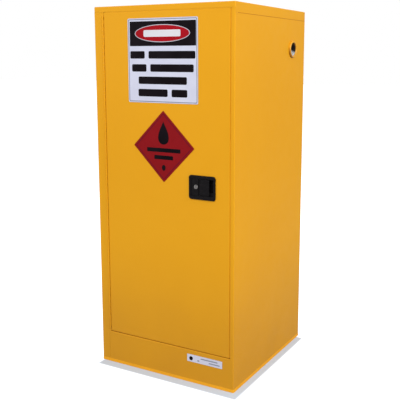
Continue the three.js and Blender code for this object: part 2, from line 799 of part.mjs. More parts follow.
function addHinge() {
  addPiece("hinge_frame_leaf", hingeLeaf(-1, 0), yellowPaint);
  addPiece("hinge_door_leaf", hingeLeaf(1, 1), yellowPaint, door);
  const place = [HINGE_X, HINGE_Y];
  const pin = bar(HINGE_PIN_RADIUS, "z", HINGE_BOTTOM, HINGE_TOP, place, HINGE_PIN_SIDES);
  addPiece("hinge_pin", pin, zinc);
}

// ---- Door --------------------------------------------------------------------------------

const BEZEL_OVERLAP = 3.5; // of the handle's rim over the edge of its cut-out
const CUTOUT_WIDTH = HANDLE_WIDTH - 2 * BEZEL_OVERLAP;
const CUTOUT_HEIGHT = HANDLE_HEIGHT - 2 * BEZEL_OVERLAP;
const INNER_SKIN_INSET = SHEET + FIT;
const INNER_SKIN_RETURN = 5;
const INNER_SKIN_CORNER = 2;
const INNER_SKIN_LIP = 3; // it covers the outer skin's edges up to this inset
const INNER_SKIN_ENDS = 1; // the same at the top and bottom
const STIFFENER_CROWN_HALF = 26;
const STIFFENER_BRIM_HALF = 55;
const STIFFENER_INSET = 50; // from the door's top and bottom

function addDoorSkins() {
  const width = DOOR_RIGHT - DOOR_LEFT;
  const height = DOOR_TOP - DOOR_BOTTOM;
  const outerDepth = DOOR_THICKNESS - SHEET - FIT;
  const pressed = tray(width, height, outerDepth, SHEET, DOOR_CORNER, DOOR_CORNER);
  const outer = facing("back", pressed, [DOOR_MID_X, FRONT, DOOR_MID_Z]);
  const cutout = block(
    HANDLE_X - CUTOUT_WIDTH / 2,
    HANDLE_X + CUTOUT_WIDTH / 2,
    FRONT - PAST,
    FRONT + SHEET + PAST,
    HANDLE_Z - CUTOUT_HEIGHT / 2,
    HANDLE_Z + CUTOUT_HEIGHT / 2,
  );
  const half = ROD_HOLE_WIDTH / 2;
  const boltExit = block(
    DOOR_RIGHT - ROD_HOLE_REACH,
    DOOR_RIGHT + PAST,
    ...ROD_HOLE_DEPTH,
    BOLT_Z - half,
    BOLT_Z + half,
  );
  const outerSkin = cut(
    outer,
    cutout,
    rodHole(UPPER_ROD_X, DOOR_TOP),
    rodHole(LOWER_ROD_X, DOOR_BOTTOM),
    boltExit,
  );
  addPiece("door_outer_skin", outerSkin, yellowPaint, door);

  const inner = tray(
    width - 2 * INNER_SKIN_INSET - 2 * INNER_SKIN_LIP,
    height - 2 * INNER_SKIN_INSET - 2 * INNER_SKIN_LIP,
    INNER_SKIN_RETURN,
    SHEET,
    INNER_SKIN_CORNER,
    INNER_SKIN_CORNER,
  );
  const flat = block(
    DOOR_LEFT + INNER_SKIN_LIP,
    DOOR_RIGHT - INNER_SKIN_LIP,
    FRONT + DOOR_THICKNESS - SHEET,
    FRONT + DOOR_THICKNESS,
    DOOR_BOTTOM + INNER_SKIN_ENDS,
    DOOR_TOP - INNER_SKIN_ENDS,
  );
  const turned = inner.rotate([90, 0, 0]).translate([
    DOOR_MID_X,
    FRONT + DOOR_THICKNESS,
    DOOR_MID_Z,
  ]);
  addPiece("door_inner_skin", joined(flat, turned), yellowPaint, door);

  const hat = hatOutline(0, STIFFENER_CROWN_HALF, STIFFENER_BRIM_HALF, HAT_BACK);
  const ends = [DOOR_BOTTOM + STIFFENER_INSET, DOOR_TOP - STIFFENER_INSET];
  const stiffener = prism(hat, "z", ...ends);
  addPiece("door_stiffener", stiffener, galvanised, door);
}

// A top-hat section that opens to the front: crown at the back, brims on the skin.
function hatOutline(x, crownHalf, brimHalf, crownY) {
  const brimBack = BRIM_Y + HEAVY_SHEET;
  const path = [
    [x - brimHalf, brimBack],
    [x - crownHalf, brimBack],
    [x - crownHalf, crownY],
    [x + crownHalf, crownY],
    [x + crownHalf, brimBack],
    [x + brimHalf, brimBack],
  ];
  return foldedSheet(path, -1, HEAVY_SHEET, TIGHT_FOLD);
}

// ---- Handle and lock --------------------------------------------------------------------

const POCKET = { left: 124, right: 218, bottom: 721.5, top: 786.5, floor: FRONT - 2 };
const PADDLE = { left: 156.5, right: 200, bottom: 724.8, top: 783, back: FRONT + 1 };
const PADDLE_WELL_FLOOR = FRONT + 5;
const RECESS = { left: 168, right: 218, bottom: 736, top: 785, floor: FRONT + 16 };
const PIVOT_X = 160;
const PIVOT_Y = FRONT + 1.5;
const PIVOT_RADIUS = 1.5;
const PIVOT_SIDES = 10;
const PIN_REACH = 5; // of the paddle's pin into the housing at each end
const TAIL_TOP = 733;
const TAIL_HALF = 2;
const TAIL_SWING = 8; // room that the tail needs to the right of the pivot
const BARREL_RADIUS = 7.75;
const PLUG_RADIUS = 6;
const LOCK_SIDES = 24;
const LOCK_FACE = FRONT - 2.8;
const LOCK_TAIL = FRONT + 16;
const LOCK_SEAT = FRONT + 12; // back of the bore that the lock sits in
const TUB_WALL = 1.5;
const BEZEL_CORNER = 10;
const BEZEL_EDGE = 1.6;
const BEZEL_SEGMENTS = 4;
const PADDLE_GAP = 0.8; // round the paddle in its well
const AHEAD = FRONT - 2 * HANDLE_PROUD; // clear in front of the whole handle

function addHandleHousing() {
  const centre = [HANDLE_X, FRONT - HANDLE_PROUD, HANDLE_Z];
  const bezelThickness = HANDLE_PROUD - FIT;
  const rim = roundedSlab(
    HANDLE_WIDTH,
    HANDLE_HEIGHT,
    bezelThickness,
    BEZEL_CORNER,
    BEZEL_EDGE,
    BEZEL_SEGMENTS,
  );
  const bezel = facing("back", rim, centre);
  const plug = block(
    HANDLE_X - CUTOUT_WIDTH / 2 + FIT,
    HANDLE_X + CUTOUT_WIDTH / 2 - FIT,
    FRONT - HANDLE_PROUD / 2,
    PADDLE_WELL_FLOOR + TUB_WALL,
    HANDLE_Z - CUTOUT_HEIGHT / 2 + FIT,
    HANDLE_Z + CUTOUT_HEIGHT / 2 - FIT,
  );
  const tub = block(
    RECESS.left - TUB_WALL,
    RECESS.right + TUB_WALL,
    FRONT,
    RECESS.floor + TUB_WALL,
    RECESS.bottom - TUB_WALL,
    RECESS.top + TUB_WALL,
  );
  const pocket = block(
    POCKET.left,
    POCKET.right,
    AHEAD,
    POCKET.floor,
    POCKET.bottom,
    POCKET.top,
  );
  const paddleWell = block(
    PADDLE.left - PADDLE_GAP,
    RECESS.right,
    AHEAD,
    PADDLE_WELL_FLOOR,
    PADDLE.bottom - PADDLE_GAP,
    PADDLE.top + PADDLE_GAP,
  );
  const recess = block(
    RECESS.left,
    RECESS.right,
    AHEAD,
    RECESS.floor,
    RECESS.bottom,
    PADDLE.top + PADDLE_GAP,
  );
  const tailWindow = block(
    PADDLE.left - PADDLE_GAP,
    PIVOT_X + TAIL_SWING,
    FRONT,
    RECESS.floor,
    PADDLE.bottom - PADDLE_GAP,
    TAIL_TOP + PADDLE_GAP,
  );
  const lockPlace = [LOCK_X, LOCK_Z];
  const lockBore = bar(BARREL_RADIUS + FIT, "y", AHEAD, LOCK_SEAT, lockPlace, LOCK_SIDES);
  const pinEnds = [PADDLE.bottom - PIN_REACH - PAST, PADDLE.top + PIN_REACH + PAST];
  const pivot = [PIVOT_X, PIVOT_Y];
  const pinBore = bar(PIVOT_RADIUS + FIT, "z", ...pinEnds, pivot, PIVOT_SIDES);
  const housing = cut(
    joined(bezel, plug, tub),
    pocket,
    paddleWell,
    recess,
    tailWindow,
    lockBore,
    pinBore,
  );
  addPiece("handle_housing", housing, blackPlastic, door);
}

const TAIL_LENGTH = 16;
const PADDLE_THICKNESS = 4.3;
const PADDLE_FACE = FRONT - 3.4;
const PADDLE_CORNER = 4;
const PADDLE_EDGE = 1.2;
const PADDLE_BARREL_RADIUS = 3;
const NECK_LENGTH = 8;
const NECK_INSET = 4; // from the paddle's top and bottom

function addPaddle() {
  const left = PIVOT_X - 1; // where the plate begins, just past its pivot
  const height = PADDLE.top - PADDLE.bottom;
  const plate = facing(
    "back",
    roundedSlab(PADDLE.right - left, height, PADDLE_THICKNESS, PADDLE_CORNER, PADDLE_EDGE),
    [(left + PADDLE.right) / 2, PADDLE_FACE, (PADDLE.bottom + PADDLE.top) / 2],
  );
  const pivot = [PIVOT_X, PIVOT_Y];
  const barrel = bar(PADDLE_BARREL_RADIUS, "z", PADDLE.bottom, PADDLE.top, pivot);
  const neck = block(
    left,
    PIVOT_X + NECK_LENGTH,
    PADDLE_FACE + PADDLE_THICKNESS / 2,
    PIVOT_Y,
    PADDLE.bottom + NECK_INSET,
    PADDLE.top - NECK_INSET,
  );
  const tail = block(
    PIVOT_X - TAIL_HALF,
    PIVOT_X + TAIL_HALF,
    PIVOT_Y,
    PIVOT_Y + TAIL_LENGTH,
    PADDLE.bottom,
    TAIL_TOP,
  );
  const through = [PADDLE.bottom - PAST, PADDLE.top + PAST];
  const bore = bar(PIVOT_RADIUS + FIT, "z", ...through, pivot, PIVOT_SIDES);
  addPiece("handle_paddle", cut(joined(plate, barrel, neck, tail), bore), blackPlastic, door);
  const pinEnds = [PADDLE.bottom - PIN_REACH, PADDLE.top + PIN_REACH];
  const pin = bar(PIVOT_RADIUS, "z", ...pinEnds, pivot, PIVOT_SIDES);
  addPiece("paddle_pin", pin, zinc, door);
}

const TONGUE_HALF_WIDTH = 4;
const TONGUE_LENGTH = 17;
const TONGUE_BACK = LOCK_TAIL + 2.4;
const KEYWAY_HALF_WIDTH = 0.8;
const KEYWAY_HALF_HEIGHT = 3.8;
const KEYWAY_DEPTH = 6;

function addLock() {
  const place = [LOCK_X, LOCK_Z];
  const span = [LOCK_FACE, LOCK_TAIL];
  const barrel = ring(BARREL_RADIUS, PLUG_RADIUS + FIT, "y", ...span, place, LOCK_SIDES);
  addPiece("lock_barrel", barrel, lockMetal, door);
  const plug = bar(PLUG_RADIUS, "y", LOCK_FACE - FIT, TONGUE_BACK, place, LOCK_SIDES);
  const tongue = block(
    LOCK_X - TONGUE_HALF_WIDTH,
    LOCK_X + TONGUE_HALF_WIDTH,
    LOCK_TAIL + FIT,
    TONGUE_BACK,
    LOCK_Z - TONGUE_LENGTH,
    LOCK_Z,
  );
  const keyway = block(
    LOCK_X - KEYWAY_HALF_WIDTH,
    LOCK_X + KEYWAY_HALF_WIDTH,
    LOCK_FACE - PAST,
    LOCK_FACE + KEYWAY_DEPTH,
    LOCK_Z - KEYWAY_HALF_HEIGHT,
    LOCK_Z + KEYWAY_HALF_HEIGHT,
  );
  addPiece("lock_plug", cut(joined(plug, tongue), keyway), lockMetal, door);
}

// ---- Three-point latch ---------------------------------------------------------------------

const CASE_CROWN_HALF = 60;
const CASE_BRIM_HALF = 71;
const CASE_BOTTOM = CAM_Z - 48;
const CASE_TOP = CAM_Z + 46;
const CAM_FRONT = FRONT + 20;
const CAM_BACK = FRONT + 22;
const CAM_SIDES = 36;
const POST_RADIUS = 4;
const POST_HEAD_RADIUS = 7;
const POST_HEAD_THICKNESS = 1.6;
const POST_SIDES = 16;

function addLatchCase() {
  const hat = hatOutline(HANDLE_X, CASE_CROWN_HALF, CASE_BRIM_HALF, HAT_BACK);
  const body = prism(hat, "z", CASE_BOTTOM, CASE_TOP);
  const half = ROD_HOLE_WIDTH / 2;
  const boltSlot = block(
    HANDLE_X + CASE_CROWN_HALF - ROD_HOLE_REACH,
    HANDLE_X + CASE_CROWN_HALF + ROD_HOLE_REACH,
    ...ROD_HOLE_DEPTH,
    BOLT_Z - half,
    BOLT_Z + half,
  );
  const place = [CAM_X, CAM_Z];
  const headBack = CAM_FRONT - FIT;
  const headFront = headBack - POST_HEAD_THICKNESS;
  const postEnds = [headFront + POST_HEAD_THICKNESS / 2, HAT_BACK - HEAVY_SHEET / 2];
  const post = bar(POST_RADIUS, "y", ...postEnds, place, POST_SIDES);
  const head = bar(POST_HEAD_RADIUS, "y", headFront, headBack, place, POST_SIDES);
  addPiece("latch_case", cut(joined(body, post, head), boltSlot), galvanised, door);
}

const SLOT_CLEARANCE = 0.5; // round a rod's drive pin
const SLOT_INWARD = 0.5; // room that the cam's turn needs at each end of a slot
const SLOT_OUTWARD = 1.6;
const LUG_RADIUS = 2.5; // of the pin that the paddle's tail pushes
const LUG_SIDES = 12;
const LUG_FRONT = FRONT + 11;
const LUG_PLACE = [CAM_X - 13, CAM_Z - 28];

// The disc that turns the paddle's swing into the travel of both rods and the bolt.
function addCam() {
  const place = [CAM_X, CAM_Z];
  const through = [CAM_FRONT - PAST, CAM_BACK + PAST];
  const disc = bar(CAM_RADIUS, "y", CAM_FRONT, CAM_BACK, place, CAM_SIDES);
  const bore = bar(POST_RADIUS + FIT, "y", ...through, place, POST_SIDES);
  const halfWidth = DRIVE_PIN_RADIUS + SLOT_CLEARANCE;
  const inner = ROD_ARM - halfWidth - SLOT_INWARD;
  const outer = ROD_ARM + halfWidth + SLOT_OUTWARD;
  const slots = [
    block(CAM_X - outer, CAM_X - inner, ...through, CAM_Z - halfWidth, CAM_Z + halfWidth),
    block(CAM_X + inner, CAM_X + outer, ...through, CAM_Z - halfWidth, CAM_Z + halfWidth),
    block(CAM_X - halfWidth, CAM_X + halfWidth, ...through, CAM_Z + inner, CAM_Z + outer),
  ];
  const lugBack = (CAM_FRONT + CAM_BACK) / 2;
  const lug = bar(LUG_RADIUS, "y", LUG_FRONT, lugBack, LUG_PLACE, LUG_SIDES);
  addPiece("latch_cam", joined(cut(disc, bore, ...slots), lug), zinc, door);
}

const PIN_PROUD = 1; // of a drive pin in front of the cam
const DRIVE_PIN_SIDES = 12;
const ROD_END = 10; // of a rod past its drive pin
const TIP_INSET = 0.5; // of each tip, inside the door's edge

function rod(x0, x1, z0, z1, pinX, pinZ) {
  const flat = block(x0, x1, ROD_FRONT, ROD_BACK, z0, z1);
  const pinEnds = [CAM_FRONT - PIN_PROUD, ROD_FRONT + ROD_THICKNESS / 2];
  const drivePin = bar(DRIVE_PIN_RADIUS, "y", ...pinEnds, [pinX, pinZ], DRIVE_PIN_SIDES);
  return joined(flat, drivePin);
}

function addRods() {
  const half = ROD_WIDTH / 2;
  const upper = rod(
    UPPER_ROD_X - half,
    UPPER_ROD_X + half,
    CAM_Z - ROD_END,
    DOOR_TOP - TIP_INSET,
    UPPER_ROD_X,
    CAM_Z,
  );
  addPiece("upper_latch_rod", upper, zinc, door);
  const lower = rod(
    LOWER_ROD_X - half,
    LOWER_ROD_X + half,
    DOOR_BOTTOM + TIP_INSET,
    CAM_Z + ROD_END,
    LOWER_ROD_X,
    CAM_Z,
  );
  addPiece("lower_latch_rod", lower, zinc, door);
  const bolt = rod(
    CAM_X - ROD_END,
    DOOR_RIGHT - TIP_INSET,
    BOLT_Z - half,
    BOLT_Z + half,
    CAM_X,
    BOLT_Z,
  );
  addPiece("centre_latch_bolt", bolt, zinc, door);
}

const GUIDE_HEIGHT = 25;
const GUIDE_INSET = 45; // from the door's top or bottom edge
const GUIDE_CROWN_WALL = 2.2; // sheet and running clearance together
const GUIDE_BRIM_HALF = 22;

function addRodGuides() {
  const places = [
    ["upper", UPPER_ROD_X, DOOR_TOP - GUIDE_INSET - GUIDE_HEIGHT],
    ["lower", LOWER_ROD_X, DOOR_BOTTOM + GUIDE_INSET],
  ];
  for (const [name, x, z] of places) {
    const crownHalf = ROD_WIDTH / 2 + GUIDE_CROWN_WALL;
    const hat = hatOutline(x, crownHalf, GUIDE_BRIM_HALF, ROD_BACK + GUIDE_CROWN_WALL);
    addPiece("rod_guide_" + name, prism(hat, "z", z, z + GUIDE_HEIGHT), galvanised, door);
  }
}

// ---- Labels ----------------------------------------------------------------------------------

const LABEL_THICKNESS = 1;
const LABEL_EDGE = 0.2;
const SIGN = { width: 300, height: 303, corner: 4, x: 4.5, z: 1201.5 };
const DIAMOND = { halfDiagonal: 132, corner: 3, x: 6.5, z: 891 };
const PLATE = { width: 151, height: 29, corner: 2, x: 178, z: 97 };

function labelPlate(width, height, corner) {
  return roundedSlab(width, height, LABEL_THICKNESS - FIT, corner, LABEL_EDGE, 1);
}

function addLabels() {
  const face = FRONT - LABEL_THICKNESS;
  const sign = labelPlate(SIGN.width, SIGN.height, SIGN.corner);
  addPiece("warning_sign", facing("back", sign, [SIGN.x, face, SIGN.z]), whiteLabel, door);
  const side = DIAMOND.halfDiagonal * Math.SQRT2;
  const square = labelPlate(side, side, DIAMOND.corner).rotate([0, 0, 45]);
  const diamond = facing("back", square, [DIAMOND.x, face, DIAMOND.z]);
  addPiece("hazard_diamond", diamond, redLabel, door);
  const plate = labelPlate(PLATE.width, PLATE.height, PLATE.corner);
  addPiece("makers_plate", facing("back", plate, [PLATE.x, face, PLATE.z]), whiteLabel);
}

addShell();
addFrameRails();
addBase();
addLiner();
addSump();
addShelves();
addUprights();
addShelfBrackets();
addVent("upper", 1, UPPER_VENT_Z);
addVent("lower", -1, LOWER_VENT_Z);
addVentBung();
addHinge();
addDoorSkins();
addHandleHousing();
addPaddle();
addLock();
addLatchCase();
addCam();
addRods();
addRodGuides();
addLabels();

export default cabinet;
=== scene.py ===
"""The looks of a single-door storage cabinet for flammable liquids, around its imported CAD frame.

Lengths are in metres in the row frame: +Z up, the door faces -Y, and the floor is z = 0.
"""

import json
import math

import bmesh
import bpy
from mathutils import Matrix, Vector


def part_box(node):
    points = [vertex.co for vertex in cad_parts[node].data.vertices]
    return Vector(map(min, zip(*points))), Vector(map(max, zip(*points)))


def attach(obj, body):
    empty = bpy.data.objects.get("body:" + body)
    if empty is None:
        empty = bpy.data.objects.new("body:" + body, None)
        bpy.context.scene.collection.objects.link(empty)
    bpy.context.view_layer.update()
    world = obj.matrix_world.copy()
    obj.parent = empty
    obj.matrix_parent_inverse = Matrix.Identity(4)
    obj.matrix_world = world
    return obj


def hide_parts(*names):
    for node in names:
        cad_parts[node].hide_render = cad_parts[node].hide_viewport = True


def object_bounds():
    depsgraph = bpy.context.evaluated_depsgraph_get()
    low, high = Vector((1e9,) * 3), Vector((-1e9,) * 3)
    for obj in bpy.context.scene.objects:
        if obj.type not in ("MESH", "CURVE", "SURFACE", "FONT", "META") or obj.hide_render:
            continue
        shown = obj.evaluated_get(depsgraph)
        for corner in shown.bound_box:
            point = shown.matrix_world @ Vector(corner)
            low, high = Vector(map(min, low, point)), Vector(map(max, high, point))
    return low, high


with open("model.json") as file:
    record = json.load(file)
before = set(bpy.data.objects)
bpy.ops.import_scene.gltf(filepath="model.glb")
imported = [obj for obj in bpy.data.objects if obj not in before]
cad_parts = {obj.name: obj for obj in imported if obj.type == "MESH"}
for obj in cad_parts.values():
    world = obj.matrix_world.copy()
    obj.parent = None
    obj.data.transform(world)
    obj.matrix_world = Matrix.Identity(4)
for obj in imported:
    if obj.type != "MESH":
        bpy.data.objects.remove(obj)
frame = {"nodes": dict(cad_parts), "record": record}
cad_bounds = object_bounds()

MM = 0.001
NODE_SLOTS = {part["node"]: part["material_slot"] for part in frame["record"]["subparts"]}
NODE_BODIES = {
    node: body
    for body, nodes in frame["record"]["behaviour"]["bodies"].items()
    for node in nodes
}


def middle(box):
    """The point halfway between a box's two corners."""
    return (box[0] + box[1]) / 2


# ---- Camera --------------------------------------------------------------------------


def add_camera():
    """The camera stands to the right of the door, level with its upper part."""
    place = Vector((1.3875, -2.3690, 1.2033))
    yaw, pitch, roll = (math.radians(a) for a in (-29.02, 9.267, 0.114))
    ahead = Vector(
        (math.sin(yaw) * math.cos(pitch), math.cos(yaw) * math.cos(pitch), -math.sin(pitch))
    )
    level = Vector((math.cos(yaw), -math.sin(yaw), 0))
    up = level.cross(ahead)
    across = level * math.cos(roll) + up * math.sin(roll)
    upward = up * math.cos(roll) - level * math.sin(roll)
    data = bpy.data.cameras.new("camera")
    data.sensor_width = 36
    data.lens = 61.305
    data.shift_x = -0.0501
    data.shift_y = -0.0712
    camera = bpy.data.objects.new("camera", data)
    turn = Matrix((across, upward, -ahead)).transposed()
    camera.matrix_world = Matrix.Translation(place) @ turn.to_4x4()
    bpy.context.scene.collection.objects.link(camera)
    bpy.context.scene.camera = camera


# ---- Material nodes ------------------------------------------------------------------


class Shader:
    """A material's node tree, built from calls that return output sockets."""

    def __init__(self, name):
        self.material = bpy.data.materials.new(name)
        self.material.use_nodes = True
        self.nodes = self.material.node_tree.nodes
        self.links = self.material.node_tree.links
        self.surface = self.nodes["Principled BSDF"]
        self.place = self.add("ShaderNodeTexCoord").outputs["Object"]

    def add(self, kind, **settings):
        node = self.nodes.new(kind)
        for key, value in settings.items():
            setattr(node, key, value)
        return node

    def feed(self, socket, value):
        if isinstance(value, bpy.types.NodeSocket):
            self.links.new(value, socket)
        elif hasattr(value, "__len__") and len(value) == 3 and socket.type == "RGBA":
            socket.default_value = (*value, 1)
        else:
            socket.default_value = value

    def set(self, **values):
        for name, value in values.items():
            label = name.replace("_", " ").title().replace("Ior", "IOR")
            self.feed(self.surface.inputs[label], value)

    def noise(self, scale, detail=2.0, place=None):
        node = self.add("ShaderNodeTexNoise")
        self.feed(node.inputs["Vector"], place or self.place)
        node.inputs["Scale"].default_value = scale
        node.inputs["Detail"].default_value = detail
        return node.outputs["Fac"]

    def cells(self, scale):
        node = self.add("ShaderNodeTexVoronoi")
        self.feed(node.inputs["Vector"], self.place)
        node.inputs["Scale"].default_value = scale
        return node.outputs["Color"]

    def math(self, operation, a, b=0.0):
        node = self.add("ShaderNodeMath", operation=operation)
        self.feed(node.inputs[0], a)
        self.feed(node.inputs[1], b)
        return node.outputs[0]

    def span(self, value, low, high, to_low=0.0, to_high=1.0, smooth=False):
        """Maps value from low..high to to_low..to_high, and holds it there."""
        node = self.add("ShaderNodeMapRange")
        node.interpolation_type = "SMOOTHSTEP" if smooth else "LINEAR"
        for socket, given in zip(node.inputs, (value, low, high, to_low, to_high)):
            self.feed(socket, given)
        return node.outputs[0]

    def mix(self, amount, a, b):
        node = self.add("ShaderNodeMix", data_type="RGBA")
        self.feed(node.inputs[0], amount)
        self.feed(node.inputs[6], a)
        self.feed(node.inputs[7], b)
        return node.outputs[2]

    def axis(self, letter):
        node = self.add("ShaderNodeSeparateXYZ")
        self.feed(node.inputs[0], self.place)
        return node.outputs[letter]

    def stretched(self, scale):
        node = self.add("ShaderNodeMapping")
        self.feed(node.inputs["Vector"], self.place)
        node.inputs["Scale"].default_value = scale
        return node.outputs[0]

    def bump(self, *layers):
        """Adds (height socket, distance in metres) layers to the surface's normal."""
        normal = None
        for height, distance in layers:
            node = self.add("ShaderNodeBump")
            self.feed(node.inputs["Height"], height)
            node.inputs["Distance"].default_value = distance
            if normal is not None:
                self.feed(node.inputs["Normal"], normal)
            normal = node.outputs[0]
        self.feed(self.surface.inputs["Normal"], normal)


# ---- Materials -----------------------------------------------------------------------

LOWER_SHADE_TOP = 0.55  # the painted shade near the floor has faded out at this height
BORE_SHADE_SLOPE = 0.35  # the painted shade's edge in the vent drops this much per metre outwards
SHADOW_SHIFT_X = 0.018
SHADOW_SHIFT_Y = -0.030
SHADOW_FADE = 0.016


def powder_coat(name, roughness=0.40, specular=0.10, shade_below=False):
    """Satin yellow powder coat: orange peel, slow waves in the sheet, painted shade near the
    floor.

    The painted shade darkens the lower part of the cabinet, which is darker in the photograph.
    With the last argument set, what faces down and forward gets painted shade too, as the
    upper vent's collar looks there.
    """
    s = Shader(name)
    cloud = s.noise(2.3, 3)
    blotch = s.noise(28, 2)
    peel = s.noise(620, 1)
    wave = s.noise(2.0, 0.5)
    tone = s.mix(s.span(cloud, 0.3, 0.7), (0.80, 0.372, 0.013), (0.775, 0.352, 0.011))
    # Painted shade: the paint darkens towards the floor, with a patchy edge.
    low = s.span(s.axis("Z"), 0.0, LOWER_SHADE_TOP, 1, 0, smooth=True)
    lower_shade = s.math("MULTIPLY", low, s.span(s.noise(6, 4), 0.3, 0.7, 0.266, 0.38))
    tone = s.mix(lower_shade, tone, (0.42, 0.195, 0.03))
    # Painted shade on what faces down and forward.
    if shade_below:
        normal = s.add("ShaderNodeNewGeometry").outputs["Normal"]
        facing = s.add("ShaderNodeVectorMath", operation="DOT_PRODUCT")
        s.feed(facing.inputs[0], normal)
        facing.inputs[1].default_value = (0, -0.45, -0.89)
        dark = s.span(facing.outputs["Value"], 0.15, 0.75, 0, 0.8)
        tone = s.mix(dark, tone, (0.17, 0.050, 0.004))
    s.set(
        base_color=tone,
        roughness=s.span(blotch, 0.3, 0.7, roughness - 0.04, roughness + 0.04),
        specular_ior_level=specular,
    )
    s.bump((wave, 0.0035), (peel, 0.00006))
    return s.material


def plated_steel(name, bright, dull):
    """Zinc plating with a faint drawn grain and duller patches."""
    s = Shader(name)
    patch = s.noise(45, 3)
    grain = s.noise(300, 2, place=s.stretched((1, 1, 0.04)))
    s.set(
        base_color=s.mix(s.span(patch, 0.35, 0.7), bright, dull),
        metallic=1.0,
        roughness=s.span(patch, 0.3, 0.7, 0.24, 0.40),
    )
    s.bump((grain, 0.00003))
    return s.material


def socket_steel():
    """Zinc plate that is bright low in the upper vent's bore, with painted shade over the bore
    above.

    The bore looks like that in the photograph. The lower vent's socket lies below the painted
    shade's edge, so it is bright all over.
    """
    s = Shader("socket_steel")
    low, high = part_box("vent_socket_upper")
    patch = s.noise(45, 3)
    slope = s.math("MULTIPLY", s.axis("X"), BORE_SHADE_SLOPE)
    edge = s.math("ADD", s.axis("Z"), s.span(patch, 0.3, 0.7, -0.002, 0.002))
    edge = s.math("ADD", edge, slope)
    level = middle((low, high)).z + BORE_SHADE_SLOPE * high.x
    # Painted shade over the bore's upper part, above a sloped edge.
    dark = s.span(edge, level - 15 * MM, level - 7 * MM)
    s.set(
        base_color=s.mix(dark, (0.72, 0.73, 0.73), (0.020, 0.014, 0.014)),
        metallic=s.span(dark, 0, 1, 0.3, 0.0),
        roughness=s.span(patch, 0.3, 0.7, 0.45, 0.6),
        specular_ior_level=0.2,
    )
    return s.material


def galvanised_steel():
    """Hot-dip galvanised sheet, with its crystal spangle."""
    s = Shader("galvanised_steel")
    spangle = s.cells(70)
    tone = s.mix(spangle, (0.40, 0.42, 0.44), (0.60, 0.62, 0.64))
    s.set(
        base_color=tone,
        metallic=0.9,
        roughness=s.span(spangle, 0, 1, 0.38, 0.56),
    )
    s.bump((s.noise(120, 2), 0.00008))
    return s.material


def black_plastic():
    """Moulded black plastic: a fine grain, with faint scuffs that are a little duller."""
    s = Shader("black_plastic")
    grain = s.noise(1800, 1)
    scuff = s.noise(90, 4, place=s.stretched((1, 1, 3)))
    s.set(
        base_color=s.mix(s.span(scuff, 0.5, 0.8), (0.005, 0.004, 0.005), (0.013, 0.012, 0.014)),
        roughness=s.span(scuff, 0.35, 0.75, 0.32, 0.5),
        specular_ior_level=0.15,
    )
    s.bump((grain, 0.00005))
    return s.material


def lock_metal():
    """Satin nickel with turning marks."""
    s = Shader("lock_metal")
    marks = s.noise(500, 2)
    s.set(
        base_color=s.mix(marks, (0.32, 0.30, 0.30), (0.42, 0.40, 0.39)),
        metallic=0.9,
        roughness=s.span(marks, 0.3, 0.7, 0.28, 0.42),
    )
    s.bump((marks, 0.00002))
    return s.material


def woven_mesh():
    """Fine brass wire cloth: wires over dark gaps, at a pitch of 1.2 mm."""
    s = Shader("brass_mesh")
    turns = 2 * math.pi / (1.2 * MM)
    wires = [
        s.math("SINE", s.math("MULTIPLY", s.axis(letter), turns)) for letter in ("Y", "Z")
    ]
    top = s.math("MAXIMUM", *wires)
    wire = s.span(top, 0.0, 0.5)
    s.set(
        base_color=s.mix(wire, (0.012, 0.010, 0.007), (0.50, 0.36, 0.14)),
        metallic=s.span(wire, 0, 1, 0, 0.9),
        roughness=s.span(s.noise(90, 2), 0.3, 0.7, 0.40, 0.6),
    )
    s.bump((top, 0.0003))
    return s.material


def printed(name, color, other):
    """Ink or vinyl: a satin film with slight tone changes and a faint ripple.

    The hem's painted light and the seam's painted shade use it too.
    """
    s = Shader(name)
    s.set(
        base_color=s.mix(s.span(s.noise(14, 3), 0.35, 0.7), color, other),
        roughness=s.span(s.noise(60, 2), 0.3, 0.7, 0.34, 0.46),
        specular_ior_level=0.06,
    )
    s.bump((s.noise(25, 1), 0.0002), (s.noise(900, 1), 0.00002))
    return s.material


def floor_material():
    """A floor that glows plain white to the camera, except over the cabinet's outline.

    There it is painted grey, and stands for the narrow shadow in the photograph. The outline
    is moved by a fixed 35 mm towards the photograph's camera, so it fits that view. It stays
    where it is in other views, and no light casts it.
    """
    s = Shader("studio_floor")
    seen = s.add("ShaderNodeLightPath").outputs["Is Camera Ray"]
    half_width, half_depth = (-cad_bounds[0][i] for i in (0, 1))
    sides = (("X", half_width, SHADOW_SHIFT_X), ("Y", half_depth, SHADOW_SHIFT_Y))
    outside = []
    for letter, half, shift in sides:
        along = s.math("ABSOLUTE", s.math("SUBTRACT", s.axis(letter), shift))
        outside.append(s.math("MAXIMUM", s.math("SUBTRACT", along, half), 0.0))
    squares = [s.math("MULTIPLY", side, side) for side in outside]
    away = s.math("SQRT", s.math("ADD", *squares))
    lift = s.span(away, 0.0, SHADOW_FADE, 0.20, 1.0, smooth=True)
    s.set(
        base_color=s.mix(seen, (0.45, 0.45, 0.45), (0.40, 0.46, 0.54)),
        roughness=0.9,
        specular_ior_level=0.0,
        emission_color=(1.0, 1.0, 1.0),
        emission_strength=s.math("MULTIPLY", seen, lift),
    )
    return s.material


MATERIALS = {
    "yellow_paint": powder_coat("yellow_powder_coat"),
    "zinc_plate": plated_steel("zinc_plate", (0.66, 0.67, 0.68), (0.50, 0.50, 0.50)),
    "galvanised_steel": galvanised_steel(),
    "black_plastic": black_plastic(),
    "lock_metal": lock_metal(),
    "brass_mesh": woven_mesh(),
    "white_label": printed("white_film", (0.655, 0.67, 0.81), (0.605, 0.62, 0.76)),
    "red_label": printed("red_film", (0.265, 0.008, 0.012), (0.235, 0.007, 0.010)),
}
